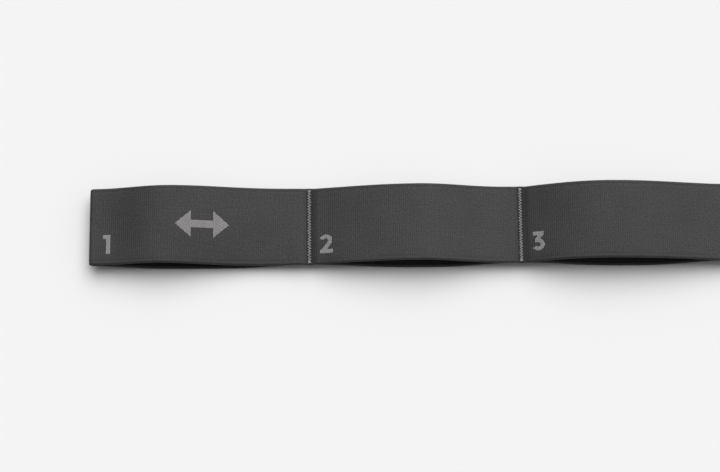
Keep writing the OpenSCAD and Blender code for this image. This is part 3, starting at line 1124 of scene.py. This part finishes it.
floor_corners = [(x * FLOOR_HALF, y * FLOOR_HALF, 0) for x, y in [(-1, -1), (1, -1), (1, 1), (-1, 1)]]
floor = new_piece("studio_floor", floor_corners, [(0, 1, 2, 3)])
floor.location.z = -FLOOR_DROP
floor_finish = bpy.data.materials.new("pale_floor")
floor_finish.use_nodes = True
floor_shader = floor_finish.node_tree.nodes["Principled BSDF"]
floor_shader.inputs["Base Color"].default_value = (PALE, PALE, PALE, 1)
floor_shader.inputs["Roughness"].default_value = 1.0
floor_shader.inputs["Specular IOR Level"].default_value = 0.0
floor.data.materials.append(floor_finish)
print("floor is", 2 * FLOOR_HALF, "m wide")

# %% [markdown]
# ## Key light
#
# A studio softbox would light a floor this large unevenly. A sun lamp with a wide angle lights it evenly
# and still gives a soft shadow, here from behind and a little from the right. Its strength is set so that
# the floor gets the wanted share of light whatever the lamp's height.

# %% Key light
KEY_SHARE = 0.70
KEY_ELEVATION = 60
KEY_AZIMUTH = 12
KEY_ANGLE = 70

sun_data = bpy.data.lights.new("studio_key", "SUN")
sun_data.energy = KEY_SHARE * math.pi / math.sin(math.radians(KEY_ELEVATION))
sun_data.angle = math.radians(KEY_ANGLE)
sun = bpy.data.objects.new("studio_key", sun_data)
bpy.context.scene.collection.objects.link(sun)
level, turn = math.radians(KEY_ELEVATION), math.radians(KEY_AZIMUTH)
towards_sun = Vector((math.sin(turn) * math.cos(level), math.cos(turn) * math.cos(level), math.sin(level)))
sun.rotation_mode = "QUATERNION"
sun.rotation_quaternion = towards_sun.to_track_quat("Z", "Y")
print("key light strength:", round(sun_data.energy, 2))

# %% [markdown]
# ## Surroundings
#
# The world adds light from all sides, and more of it from the right, as from a large window. Light Path
# tells what kind of ray asks: the camera and mirror-like rays see the pale colour of the lit floor, so that
# the floor has no edge, and only the other rays light the band.

# %% World
AMBIENT = 0.30
BRIGHT_SIDE = (0.8, 0.6, 0.0)
SIDE_SHARE = 0.9

world = bpy.data.worlds.new("studio_world")
bpy.context.scene.world = world
world.use_nodes = True
sky = world.node_tree
sky.nodes.clear()
direction = add_node(sky, "ShaderNodeTexCoord").outputs["Generated"]
towards = {0: direction, 1: BRIGHT_SIDE}
to_bright_side = add_node(sky, "ShaderNodeVectorMath", towards, operation="DOT_PRODUCT").outputs["Value"]
uneven = work_out(sky, "MULTIPLY", to_bright_side, SIDE_SHARE)
uneven = work_out(sky, "ADD", uneven, 1.0)
rays = add_node(sky, "ShaderNodeLightPath").outputs
reflected = work_out(sky, "MAXIMUM", rays["Is Glossy Ray"], rays["Is Transmission Ray"])
lighting = work_out(sky, "MULTIPLY", uneven, AMBIENT)
mirrored = work_out(sky, "MULTIPLY", uneven, PALE)
lighting = as_range(sky, reflected, 0, 1, lighting, mirrored)
lighting = as_range(sky, rays["Is Camera Ray"], 0, 1, lighting, PALE)
shown = add_node(sky, "ShaderNodeBackground", {"Color": (1, 1, 1, 1), "Strength": lighting}).outputs[0]
add_node(sky, "ShaderNodeOutputWorld", {0: shown})
bpy.context.scene.view_settings.view_transform = "Standard"
print("world strength:", AMBIENT)

# %% [markdown]
# ## Camera
#
# The camera looks down at the near end of the band from the front, 72 degrees above the floor, through a
# long lens, so the sides of the band stay nearly parallel. It is turned by half a degree, and the band runs
# out of the picture on the right.

# %% Camera
CAMERA_ELEVATION = 72
CAMERA_DISTANCE = 1.40
CAMERA_ROLL = -0.0086
LENS = 139.66
TARGET_FROM_NEAR_END = Vector((135.45, -5.0, 5.0)) * MM
target = Vector((cad_low.x, 0, 0)) + TARGET_FROM_NEAR_END
rise = math.radians(CAMERA_ELEVATION)
back = Vector((0, -math.cos(rise), math.sin(rise)))
camera_data = bpy.data.cameras.new("studio_camera")
camera_data.lens = LENS
camera_data.sensor_width = 36
camera_data.clip_start, camera_data.clip_end = 0.05, 60
camera = bpy.data.objects.new("studio_camera", camera_data)
bpy.context.scene.collection.objects.link(camera)
camera.rotation_mode = "QUATERNION"
camera.location = target + back * CAMERA_DISTANCE
upright = (-back).to_track_quat("-Z", "Y")
camera.rotation_quaternion = upright @ Matrix.Rotation(CAMERA_ROLL, 4, "Z").to_quaternion()
bpy.context.scene.camera = camera
print("camera is at", [round(v, 3) for v in camera.location])
